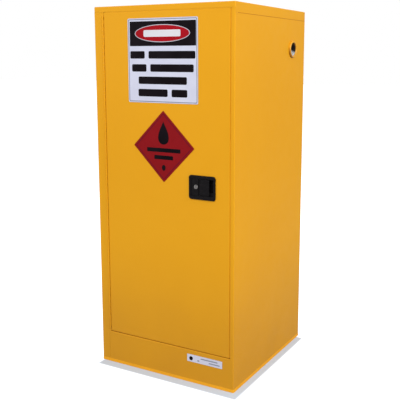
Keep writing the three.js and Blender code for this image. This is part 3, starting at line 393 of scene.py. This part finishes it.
# The collars are glossier than the walls, and the hem is lighter, as in the photograph.
# The hem's lighter colour is painted light, bounced up from the floor.
# The collars' paint also carries painted shade on what faces down and forward.
COLLAR_PAINT = powder_coat("collar_paint", 0.24, 0.5, shade_below=True)
# Lighter yellow: painted light, bounced up from the floor onto the hem.
HEM_PAINTED_LIGHT = printed("hem_painted_light", (0.90, 0.41, 0.024), (0.85, 0.385, 0.021))
# Zinc with painted shade over the upper vent's bore.
SOCKET_STEEL = socket_steel()
# A darker orange: painted shade in the seam under the roof's flange.
SEAM_SHADE = printed("seam_painted_shade", (0.56, 0.20, 0.010), (0.50, 0.18, 0.009))
INKS = {
    "black_ink": printed("black_ink", (0.005, 0.003, 0.005), (0.009, 0.006, 0.009)),
    "red_ink": printed("red_ink", (0.38, 0.006, 0.014), (0.34, 0.005, 0.011)),
    "white_ink": printed("white_ink", (0.72, 0.72, 0.77), (0.67, 0.67, 0.72)),
    "rim_ink": printed("rim_ink", (0.52, 0.53, 0.60), (0.48, 0.49, 0.56)),
    "grey_ink": printed("grey_ink", (0.25, 0.27, 0.35), (0.22, 0.24, 0.31)),
    "dark_red_ink": printed("dark_red_ink", (0.12, 0.008, 0.022), (0.10, 0.007, 0.018)),
}


# ---- Mesh helpers --------------------------------------------------------------------


def add_piece(name, mesh_builder, body, slot, material=None, smooth=35):
    """Makes an object from a bmesh, on a CAD body, with the material given, or else its record
    slot's material.
    """
    mesh = bpy.data.meshes.new(name)
    bmesh.ops.recalc_face_normals(mesh_builder, faces=mesh_builder.faces)
    mesh_builder.to_mesh(mesh)
    mesh_builder.free()
    piece = bpy.data.objects.new(name, mesh)
    bpy.context.scene.collection.objects.link(piece)
    mesh.materials.append(material or MATERIALS[slot])
    if smooth:
        mesh.shade_smooth()
        mesh.set_sharp_from_angle(angle=math.radians(smooth))
    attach(piece, body)
    return piece


def lathe(bm, profile, centre, axis, segments=48):
    """Turns (distance along axis, radius) points about an axis through centre."""
    axis = Vector(axis).normalized()
    side = axis.orthogonal().normalized()
    other = axis.cross(side)
    rings = []
    for along, radius in profile:
        hub = Vector(centre) + axis * along
        if radius <= 0:
            rings.append([bm.verts.new(hub)])
            continue
        ring = []
        for i in range(segments):
            a = 2 * math.pi * i / segments
            spoke = side * math.cos(a) + other * math.sin(a)
            ring.append(bm.verts.new(hub + spoke * radius))
        rings.append(ring)
    closed = len(rings[0]) > 1 and len(rings[-1]) > 1
    pairs = list(zip(rings, rings[1:]))
    if closed:
        pairs.append((rings[-1], rings[0]))
    for a, b in pairs:
        for i in range(segments):
            j = (i + 1) % segments
            corners = [a[i % len(a)], a[j % len(a)], b[j % len(b)], b[i % len(b)]]
            unique = list(dict.fromkeys(corners))
            if len(unique) > 2:
                bm.faces.new(unique)


def prism(bm, outline, lift, depth):
    """Raises a flat outline into a solid. lift(u, v, w) gives the point at height w."""
    low = [bm.verts.new(lift(u, v, 0)) for u, v in outline]
    high = [bm.verts.new(lift(u, v, depth)) for u, v in outline]
    bm.faces.new(list(reversed(low)))
    bm.faces.new(high)
    for i in range(len(outline)):
        j = (i + 1) % len(outline)
        bm.faces.new([low[i], low[j], high[j], high[i]])


def rounded_rectangle(width, height, radius, centre=(0, 0), steps=6):
    points = []
    for quarter in range(4):
        sx = 1 if quarter in (0, 3) else -1
        sy = 1 if quarter in (0, 1) else -1
        hub = (centre[0] + sx * (width / 2 - radius), centre[1] + sy * (height / 2 - radius))
        for k in range(steps + 1):
            a = math.pi / 2 * (quarter + k / steps)
            points.append((hub[0] + radius * math.cos(a), hub[1] + radius * math.sin(a)))
    return points


def ellipse(width, height, centre=(0, 0), steps=64):
    return [
        (
            centre[0] + width / 2 * math.cos(2 * math.pi * i / steps),
            centre[1] + height / 2 * math.sin(2 * math.pi * i / steps),
        )
        for i in range(steps)
    ]


def band(bm, outer, inner, lift, depth):
    """A flat frame between two outlines that have the same number of points."""
    rings = [
        [bm.verts.new(lift(u, v, w)) for u, v in line]
        for line in (outer, inner)
        for w in (0, depth)
    ]
    outer_low, outer_high, inner_low, inner_high = rings
    count = len(outer)
    for i in range(count):
        j = (i + 1) % count
        bm.faces.new([outer_low[i], outer_low[j], outer_high[j], outer_high[i]])
        bm.faces.new([inner_high[i], inner_high[j], inner_low[j], inner_low[i]])
        bm.faces.new([outer_high[i], outer_high[j], inner_high[j], inner_high[i]])
        bm.faces.new([inner_low[i], inner_low[j], outer_low[j], outer_low[i]])


def dome_rivet(bm, place, out, radius, height):
    """A pop rivet's head: a low dome with a dimple where the mandrel broke off."""
    profile = [(-0.3 * MM, radius)]
    steps = 5
    for k in range(steps + 1):
        a = math.pi / 2 * k / steps
        profile.append((height * math.sin(a), max(radius * math.cos(a), 0.32 * radius)))
    profile.append((height * 0.55, 0.26 * radius))
    profile.append((height * 0.55, 0))
    lathe(bm, [(-0.3 * MM, 0), *profile], place, out, 20)


# ---- CAD nodes -----------------------------------------------------------------------


def dress_cad_nodes():
    """Gives every CAD node its material, and softens its edges without changing its mesh."""
    for name, node in frame["nodes"].items():
        node.data.materials.clear()
        node.data.materials.append(MATERIALS[NODE_SLOTS[name]])
        for polygon in node.data.polygons:
            polygon.material_index = 0
        weld = node.modifiers.new("weld", "WELD")
        weld.merge_threshold = 1e-5
        bevel = node.modifiers.new("bevel", "BEVEL")
        bevel.width = 0.35 * MM
        bevel.segments = 2
        bevel.limit_method = "ANGLE"
        bevel.angle_limit = math.radians(40)
        normals = node.modifiers.new("normals", "WEIGHTED_NORMAL")
        normals.mode = "FACE_AREA"
        normals.weight = 100
        node.data.shade_smooth()


# ---- Hinge ---------------------------------------------------------------------------

KNUCKLES = 93
KNUCKLE_RADIUS = 3.2 * MM
KNUCKLE_GAP = 0.3 * MM
ROLL = 0.82  # the share of a full turn that a knuckle is rolled through
ROLL_STEPS = 18
LEAF_SHEET = 1.2 * MM
LEAF_START = 3.4 * MM  # the flat of a leaf starts this far behind the pin
LEAF_RIVETS = 12


def hinge_leaf(name, first, wall_side):
    """A piano hinge's leaf, with every second knuckle rolled round the pin.

    A knuckle is solid, without a bore, and the pin runs through it unseen.
    """
    low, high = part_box(name)
    pin = middle(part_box("hinge_pin"))
    wall_x = low.x if wall_side < 0 else high.x
    inner_x = wall_x - wall_side * LEAF_SHEET
    front = pin.y + LEAF_START
    height = high.z - low.z
    leaf = [(wall_x, front), (inner_x, front), (inner_x, high.y), (wall_x, high.y)]
    bm = bmesh.new()
    prism(bm, leaf, lambda u, v, w: (u, v, low.z + w), height)

    tail = front + 0.1 * MM
    outline = [(wall_x, tail)]
    if wall_side > 0:
        # The door's leaf runs on past the pin before it turns.
        outline.append((wall_x, pin.y - 0.4 * MM))
        begin = math.radians(-12)
    else:
        begin = math.atan2(0.2, -1)
    for k in range(ROLL_STEPS + 1):
        a = begin - wall_side * 2 * math.pi * ROLL * k / ROLL_STEPS
        x, y = KNUCKLE_RADIUS * math.cos(a), KNUCKLE_RADIUS * math.sin(a)
        outline.append((pin.x + x, pin.y + y))
    outline.append((inner_x, tail))
    pitch = height / KNUCKLES
    for i in range(first, KNUCKLES, 2):
        start = low.z + i * pitch + KNUCKLE_GAP / 2
        prism(bm, outline, lambda u, v, w, z=start: (u, v, z + w), pitch - KNUCKLE_GAP)
    body = NODE_BODIES[name]
    piece = add_piece(name + "_rolled", bm, body, "yellow_paint")
    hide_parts(name)

    rivets = bmesh.new()
    for i in range(LEAF_RIVETS):
        place = (inner_x, pin.y + 20 * MM, low.z + height * (i + 0.5) / LEAF_RIVETS)
        dome_rivet(rivets, place, (-wall_side, 0, 0), 2.6 * MM, 0.7 * MM)
    add_piece(name + "_rivets", rivets, body, "zinc_plate")


def slab(bm, low, high):
    """A box between two corners."""
    outline = [(low[0], low[1]), (high[0], low[1]), (high[0], high[1]), (low[0], high[1])]
    prism(bm, outline, lambda u, v, w: (u, v, low[2] + w), high[2] - low[2])


def add_hinge_fillers():
    """Plain strips that close the gap beside the door above and below the hinge."""
    leaf_low, leaf_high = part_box("hinge_frame_leaf")
    pin = middle(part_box("hinge_pin"))
    door_low, door_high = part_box("door_outer_skin")
    top = door_high.z + 2.3 * MM
    bottom = door_low.z - 2.4 * MM
    front = pin.y + 0.7 * MM
    left, right = leaf_low.x - 0.4 * MM, pin.x + 3.75 * MM
    bm = bmesh.new()
    for low_z, high_z in ((leaf_high.z + 0.2 * MM, top), (bottom, leaf_low.z - 0.2 * MM)):
        slab(bm, (left, front, low_z), (right, front + 3 * MM, high_z))
    add_piece("hinge_fillers", bm, "cabinet", "yellow_paint")


def add_door_seals():
    """Painted strips in the gaps beside the door's top and latch edges, behind its face."""
    low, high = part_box("door_outer_skin")
    top = high.z + 2.25 * MM
    side = high.x + 2.2 * MM
    front, back = low.y + 2.9 * MM, low.y + 6 * MM
    bm = bmesh.new()
    slab(bm, (low.x + 4 * MM, low.y + 0.5 * MM, high.z - 0.5 * MM), (side, back, top))
    slab(bm, (high.x - 0.5 * MM, front, low.z + 1 * MM), (side, back, high.z - 0.6 * MM))
    add_piece("door_seals", bm, "door", "yellow_paint")


def add_plinth_weld():
    """The dressed weld that runs down the joint between the plinth and the latch jamb."""
    low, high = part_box("plinth_panel")
    near = (high.x - 3 * MM, low.y - 0.08 * MM, low.z)
    far = (high.x + 4 * MM, low.y + 1 * MM, high.z - 22 * MM)
    bm = bmesh.new()
    slab(bm, near, far)
    add_piece("plinth_weld", bm, "cabinet", "yellow_paint")


def add_roof_seam_shade():
    """A thin dark bead along the seam under the roof's flange, on the sides and back: painted
    shade.
    """
    low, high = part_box("top_cap")
    out = 0.12 * MM
    bottom, top = low.z - 1.2 * MM, low.z + 0.8 * MM
    bm = bmesh.new()
    for x in (low.x, high.x):
        slab(bm, (x - out, low.y + 18 * MM, bottom), (x + out, high.y - 6 * MM, top))
    slab(bm, (low.x + 6 * MM, high.y - out, bottom), (high.x - 6 * MM, high.y + out, top))
    add_piece("roof_seam_shade", bm, "cabinet", "yellow_paint", SEAM_SHADE, smooth=None)


def add_hem():
    """The shell's lower hem, which flares out by about a millimetre towards the floor.

    Its lighter paint is painted light, bounced up from the floor.
    """
    low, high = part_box("top_cap")
    centre = middle((low, high))
    width, depth = high.x - low.x, high.y - low.y
    bottom, top = 0.4 * MM, 12 * MM
    flared, flush, within = 1.3 * MM, 0.25 * MM, -1 * MM
    radius = 3.2 * MM
    bm = bmesh.new()
    rings = []
    for out, z in ((flared, bottom), (flush, top), (within, top), (within, bottom)):
        size = (width + 2 * out, depth + 2 * out)
        outline = rounded_rectangle(*size, radius + out, (0, centre.y))
        rings.append([bm.verts.new((x, y, z)) for x, y in outline])
    count = len(rings[0])
    for a, b in zip(rings, rings[1:] + rings[:1]):
        for i in range(count):
            j = (i + 1) % count
            bm.faces.new([a[i], a[j], b[j], b[i]])
    add_piece("lower_hem", bm, "cabinet", "yellow_paint", HEM_PAINTED_LIGHT)


# ---- Labels --------------------------------------------------------------------------

INK = 0.12 * MM


def front_lift(node):
    """Places (u, v, w) on a label: u to the right and v up from its middle, w out of its face."""
    low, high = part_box(node)
    centre = middle((low, high))
    return lambda u, v, w: (centre.x + u, low.y - w, centre.z + v)


def ink(name, outlines, node, color, slot="white_label", depth=INK):
    """Prints outlines on a label. A greater depth lays a film over another one."""
    bm = bmesh.new()
    lift = front_lift(node)
    for outline in outlines:
        prism(bm, outline, lift, depth)
    add_piece(name, bm, NODE_BODIES[node], slot, INKS[color], smooth=None)


def bar_row(widths, gap, height, level):
    """A centred row of round-cornered bars, with its sizes in millimetres."""
    total = sum(widths) + gap * (len(widths) - 1)
    bars = []
    left = -total / 2
    for width in widths:
        centre = ((left + width / 2) * MM, level * MM)
        bars.append(rounded_rectangle(width * MM, height * MM, height * 0.18 * MM, centre, 3))
        left += width + gap
    return bars


def add_warning_sign():
    """A plain sign: dark header with a red oval, and rows of bars in place of any wording."""
    node = "warning_sign"
    header = rounded_rectangle(283 * MM, 88 * MM, 2 * MM, (1 * MM, 96.5 * MM), 3)
    outlines = [header]
    rows = [([64, 198], 21), ([64, 184], -26), ([208], -70.5), ([128, 66], -115.5)]
    for widths, level in rows:
        outlines += bar_row(widths, 17, 27, level)
    ink("sign_black_print", outlines, node, "black_ink")
    oval_centre = (0, 97 * MM)
    ink("sign_oval_rim", [ellipse(236 * MM, 63 * MM, oval_centre)], node, "rim_ink", depth=2 * INK)
    ink("sign_oval", [ellipse(230 * MM, 58 * MM, oval_centre)], node, "red_ink", depth=3 * INK)
    bar = rounded_rectangle(158 * MM, 24 * MM, 5 * MM, oval_centre, 4)
    ink("sign_oval_bar", [bar], node, "white_ink", depth=4 * INK)
    line = bmesh.new()
    band(
        line,
        rounded_rectangle(294 * MM, 297 * MM, 5 * MM),
        rounded_rectangle(288 * MM, 291 * MM, 3 * MM),
        front_lift(node),
        INK,
    )
    add_piece("sign_border", line, NODE_BODIES[node], "white_label", INKS["grey_ink"], smooth=None)


def drop_outline(width, height, centre, steps=40):
    """A plain drop of liquid: round below, and drawn in to a point above."""
    points = []
    for i in range(steps):
        t = 2 * math.pi * i / steps
        x = width / 2 * math.sin(t) * math.sin(t / 2) ** 1.4
        z = height / 2 * math.cos(t)
        points.append((centre[0] + x * 1.25, centre[1] + z))
    return points


def diamond(half):
    """A square standing on one corner."""
    return [(half, 0), (0, half), (-half, 0), (0, -half)]


def add_hazard_diamond():
    """A plain drop, two bars and a dot inside a dark line."""
    node = "hazard_diamond"
    line = bmesh.new()
    band(line, diamond(122 * MM), diamond(118.5 * MM), front_lift(node), INK)
    body = NODE_BODIES[node]
    add_piece("diamond_border", line, body, "red_label", INKS["dark_red_ink"], smooth=None)
    outlines = [
        drop_outline(52 * MM, 84 * MM, (0, 50 * MM)),
        *bar_row([146], 0, 15, -13),
        *bar_row([82], 0, 15, -40),
        ellipse(16 * MM, 22 * MM, (0, -78 * MM), 32),
    ]
    ink("diamond_symbol", outlines, node, "black_ink", "red_label")


def add_makers_plate():
    """A dot and three grey bars."""
    node = "makers_plate"
    mark = ellipse(16 * MM, 16 * MM, (-58 * MM, -1 * MM), 32)
    ink("plate_mark", [mark], node, "black_ink")
    bars = [
        rounded_rectangle(72 * MM, 4 * MM, 1 * MM, (20 * MM, 5 * MM), 3),
        rounded_rectangle(46 * MM, 4 * MM, 1 * MM, (42 * MM, -5 * MM), 3),
        rounded_rectangle(8 * MM, 5 * MM, 1 * MM, (-26 * MM, -5 * MM), 3),
    ]
    ink("plate_bars", bars, node, "grey_ink")


# ---- Vents and feet ------------------------------------------------------------------


def add_vent(name, side):
    """A painted half-round collar, over a zinc socket with rings for its thread."""
    collar_low, collar_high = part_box("vent_flange_" + name)
    centre = middle((collar_low, collar_high))
    outer = (collar_high.z - collar_low.z) / 2
    out = (side, 0, 0)
    proud = collar_high.x - collar_low.x
    base = Vector(((collar_low.x if side > 0 else collar_high.x), centre.y, centre.z))
    bore = 25.1 * MM  # the bung draws out through it
    behind = 28 * MM  # the radius behind the lip, clear of the socket
    lip, back = proud + 0.1 * MM, -0.2 * MM
    crown = proud + 4 * MM
    half = (outer - bore) / 2
    steps = 14
    profile = [(lip, bore), (lip, behind), (back, behind), (back, outer)]
    for k in range(steps + 1):
        a = math.pi * k / steps
        lift = crown - half + half * math.sin(a)
        profile.append((lift, bore + half + half * math.cos(a)))
    collar = bmesh.new()
    lathe(collar, profile, base, out, 96)
    piece = add_piece("vent_collar_" + name, collar, "cabinet", "yellow_paint", COLLAR_PAINT)
    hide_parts("vent_flange_" + name)

    low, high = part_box("vent_socket_" + name)
    socket_outer = (high.z - low.z) / 2
    length = high.x - low.x
    inner_end = Vector(((low.x if side > 0 else high.x), centre.y, centre.z))
    root = socket_outer - 1.3 * MM
    crest = 25 * MM
    pitch = 2.2 * MM
    threads = int((length - 4 * MM) / pitch)
    profile = [(0, crest), (0, socket_outer), (length, socket_outer), (length, root)]
    for k in reversed(range(threads)):
        start = 2 * MM + k * pitch
        profile.append((start + 0.75 * pitch, root))
        profile.append((start + 0.25 * pitch, crest))
    socket = bmesh.new()
    lathe(socket, profile, inner_end, out, 72)
    piece = add_piece(
        "vent_thread_" + name, socket, "cabinet", "zinc_plate", SOCKET_STEEL, smooth=25
    )
    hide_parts("vent_socket_" + name)


def add_bung():
    """A moulded bung with a raised rim and a round recess for its key."""
    low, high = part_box("vent_bung")
    centre = middle((low, high))
    radius = (high.z - low.z) / 2
    face = Vector((low.x, centre.y, centre.z))
    depth = high.x - low.x
    rim = 1.2 * MM
    bm = bmesh.new()
    key = 9 * MM
    profile = [
        (depth, 0),
        (depth, radius - 1.5 * MM),
        (depth - 1.5 * MM, radius),
        (rim, radius),
        (0.3 * MM, radius - 0.4 * MM),
        (0, radius - 1 * MM),
        (0, radius - 3.5 * MM),
        (rim, radius - 4.5 * MM),
        (rim, key * 1.6),
        (0.4 * MM, key * 1.45),
        (0.4 * MM, key),
        (8 * MM, key * 0.92),
        (8 * MM, 0),
    ]
    lathe(bm, profile, face, (1, 0, 0), 64)
    piece = add_piece("bung_moulding", bm, "vent_bung", "black_plastic")
    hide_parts("vent_bung")


def add_foot(place):
    """A levelling foot: a pad with a rolled edge, on a stud with rings for its thread."""
    node = "levelling_foot_" + place
    low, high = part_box(node)
    centre = middle((low, high))
    pad = (high.x - low.x) / 2
    stud = 5 * MM
    profile = [
        (0, 0),
        (0, pad - 1.2 * MM),
        (0.5 * MM, pad - 0.3 * MM),
        (1.4 * MM, pad),
        (3.2 * MM, pad),
        (4.6 * MM, pad - 1.0 * MM),
        (6 * MM, stud + 4 * MM),
        (6 * MM, stud),
    ]
    pitch = 1.5 * MM
    level = 7 * MM
    while level < high.z - 2 * MM:
        profile += [(level, stud), (level + pitch / 2, stud - 0.8 * MM)]
        level += pitch
    profile += [(high.z - 1 * MM, stud - 0.8 * MM), (high.z, stud - 1.6 * MM), (high.z, 0)]
    bm = bmesh.new()
    lathe(bm, profile, (centre.x, centre.y, 0), (0, 0, 1), 40)
    piece = add_piece("foot_" + place, bm, NODE_BODIES[node], "zinc_plate", smooth=30)
    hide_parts(node)


# ---- Fasteners -----------------------------------------------------------------------


def add_back_rivets():
    """Two columns of rivets that hold the back panel to the side panels' flanges."""
    low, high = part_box("back_panel")
    left_low, left_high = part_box("left_side_panel")
    back = left_high.y
    inset = 15 * MM
    rows = 9
    bm = bmesh.new()
    for x in (left_low.x + inset, -left_low.x - inset):
        for i in range(rows):
            z = low.z + (high.z - low.z) * (i + 0.5) / rows
            dome_rivet(bm, (x, back - 0.4 * MM, z), (0, 1, 0), 3.2 * MM, 0.4 * MM)
    add_piece("back_rivets", bm, "cabinet", "yellow_paint")


def add_latch_cover():
    """The cover on the door's inner face that gives access to the latch."""
    low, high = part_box("latch_case")
    centre = middle((low, high))
    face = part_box("door_inner_skin")[1].y
    width = high.x - low.x + 30 * MM
    height = high.z - low.z + 40 * MM
    outline = rounded_rectangle(width, height, 8 * MM, (centre.x, centre.z))
    inner = rounded_rectangle(width - 2 * MM, height - 2 * MM, 7 * MM, (centre.x, centre.z))
    bm = bmesh.new()
    prism(bm, outline, lambda u, v, w: (u, face + w, v), 0.7 * MM)
    prism(bm, inner, lambda u, v, w: (u, face + 0.6 * MM + w, v), 0.6 * MM)
    add_piece("latch_cover", bm, "door", "yellow_paint")
    screws = bmesh.new()
    for sx in (-1, 1):
        for sz in (-1, 1):
            place = (
                centre.x + sx * (width / 2 - 10 * MM),
                face + 1.2 * MM,
                centre.z + sz * (height / 2 - 10 * MM),
            )
            dome_rivet(screws, place, (0, 1, 0), 3.5 * MM, 1.2 * MM)
    add_piece("latch_cover_screws", screws, "door", "zinc_plate")


def add_upright_rivets():
    """A rivet near each end of every shelf upright."""
    bm = bmesh.new()
    for side_name, side in (("left", -1), ("right", 1)):
        for place in ("front", "rear"):
            low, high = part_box(f"shelf_upright_{side_name}_{place}")
            face = high.x if side < 0 else low.x
            y = middle((low, high)).y
            for z in (low.z + 15 * MM, high.z - 15 * MM):
                dome_rivet(bm, (face, y, z), (-side, 0, 0), 3 * MM, 0.8 * MM)
    add_piece("upright_rivets", bm, "cabinet", "zinc_plate")


# ---- Stage ---------------------------------------------------------------------------


def add_floor():
    bpy.ops.mesh.primitive_plane_add(size=60, location=(0, 0, 0))
    floor = bpy.context.object
    floor.name = "floor"
    floor.data.materials.append(floor_material())


def add_area_light(name, place, target, size, power):
    data = bpy.data.lights.new(name, "AREA")
    data.shape = "RECTANGLE"
    data.size, data.size_y = size
    data.energy = power
    light = bpy.data.objects.new(name, data)
    light.location = place
    aim = Vector(target) - Vector(place)
    light.rotation_euler = aim.to_track_quat("-Z", "Y").to_euler()
    bpy.context.scene.collection.objects.link(light)


def add_lights():
    target = (0, 0, 0.8)
    add_area_light("key_light", (1.2, -3.6, 3.4), target, (3.0, 2.4), 110)
    add_area_light("side_light", (4.2, -0.4, 2.6), target, (2.6, 2.4), 99)
    add_area_light("fill_light", (-3.4, -2.6, 2.2), target, (2.6, 2.6), 30)
    add_area_light("back_light", (-1.4, 3.8, 1.7), (0, 0, 0.7), (3.0, 2.4), 75)
    world = bpy.data.worlds.new("studio")
    world.use_nodes = True
    nodes = world.node_tree.nodes
    background = nodes["Background"]
    background.inputs["Color"].default_value = (1, 1, 1, 1)
    # The backdrop is white to the eye, but lights the cabinet less than that.
    seen = nodes.new("ShaderNodeLightPath").outputs["Is Camera Ray"]
    strength = nodes.new("ShaderNodeMapRange")
    strength.inputs["To Min"].default_value = 0.5
    strength.inputs["To Max"].default_value = 1.0
    world.node_tree.links.new(seen, strength.inputs["Value"])
    world.node_tree.links.new(strength.outputs[0], background.inputs["Strength"])
    bpy.context.scene.world = world
    bpy.context.scene.view_settings.view_transform = "Standard"


add_camera()
add_lights()
add_floor()
dress_cad_nodes()
hinge_leaf("hinge_frame_leaf", 0, -1)
hinge_leaf("hinge_door_leaf", 1, 1)
add_hinge_fillers()
add_door_seals()
add_plinth_weld()
add_roof_seam_shade()
add_hem()
add_warning_sign()
add_hazard_diamond()
add_makers_plate()
add_vent("upper", 1)
add_vent("lower", -1)
add_bung()
for corner in ("front_left", "front_right", "rear_left", "rear_right"):
    add_foot(corner)
add_back_rivets()
add_latch_cover()
add_upright_rivets()
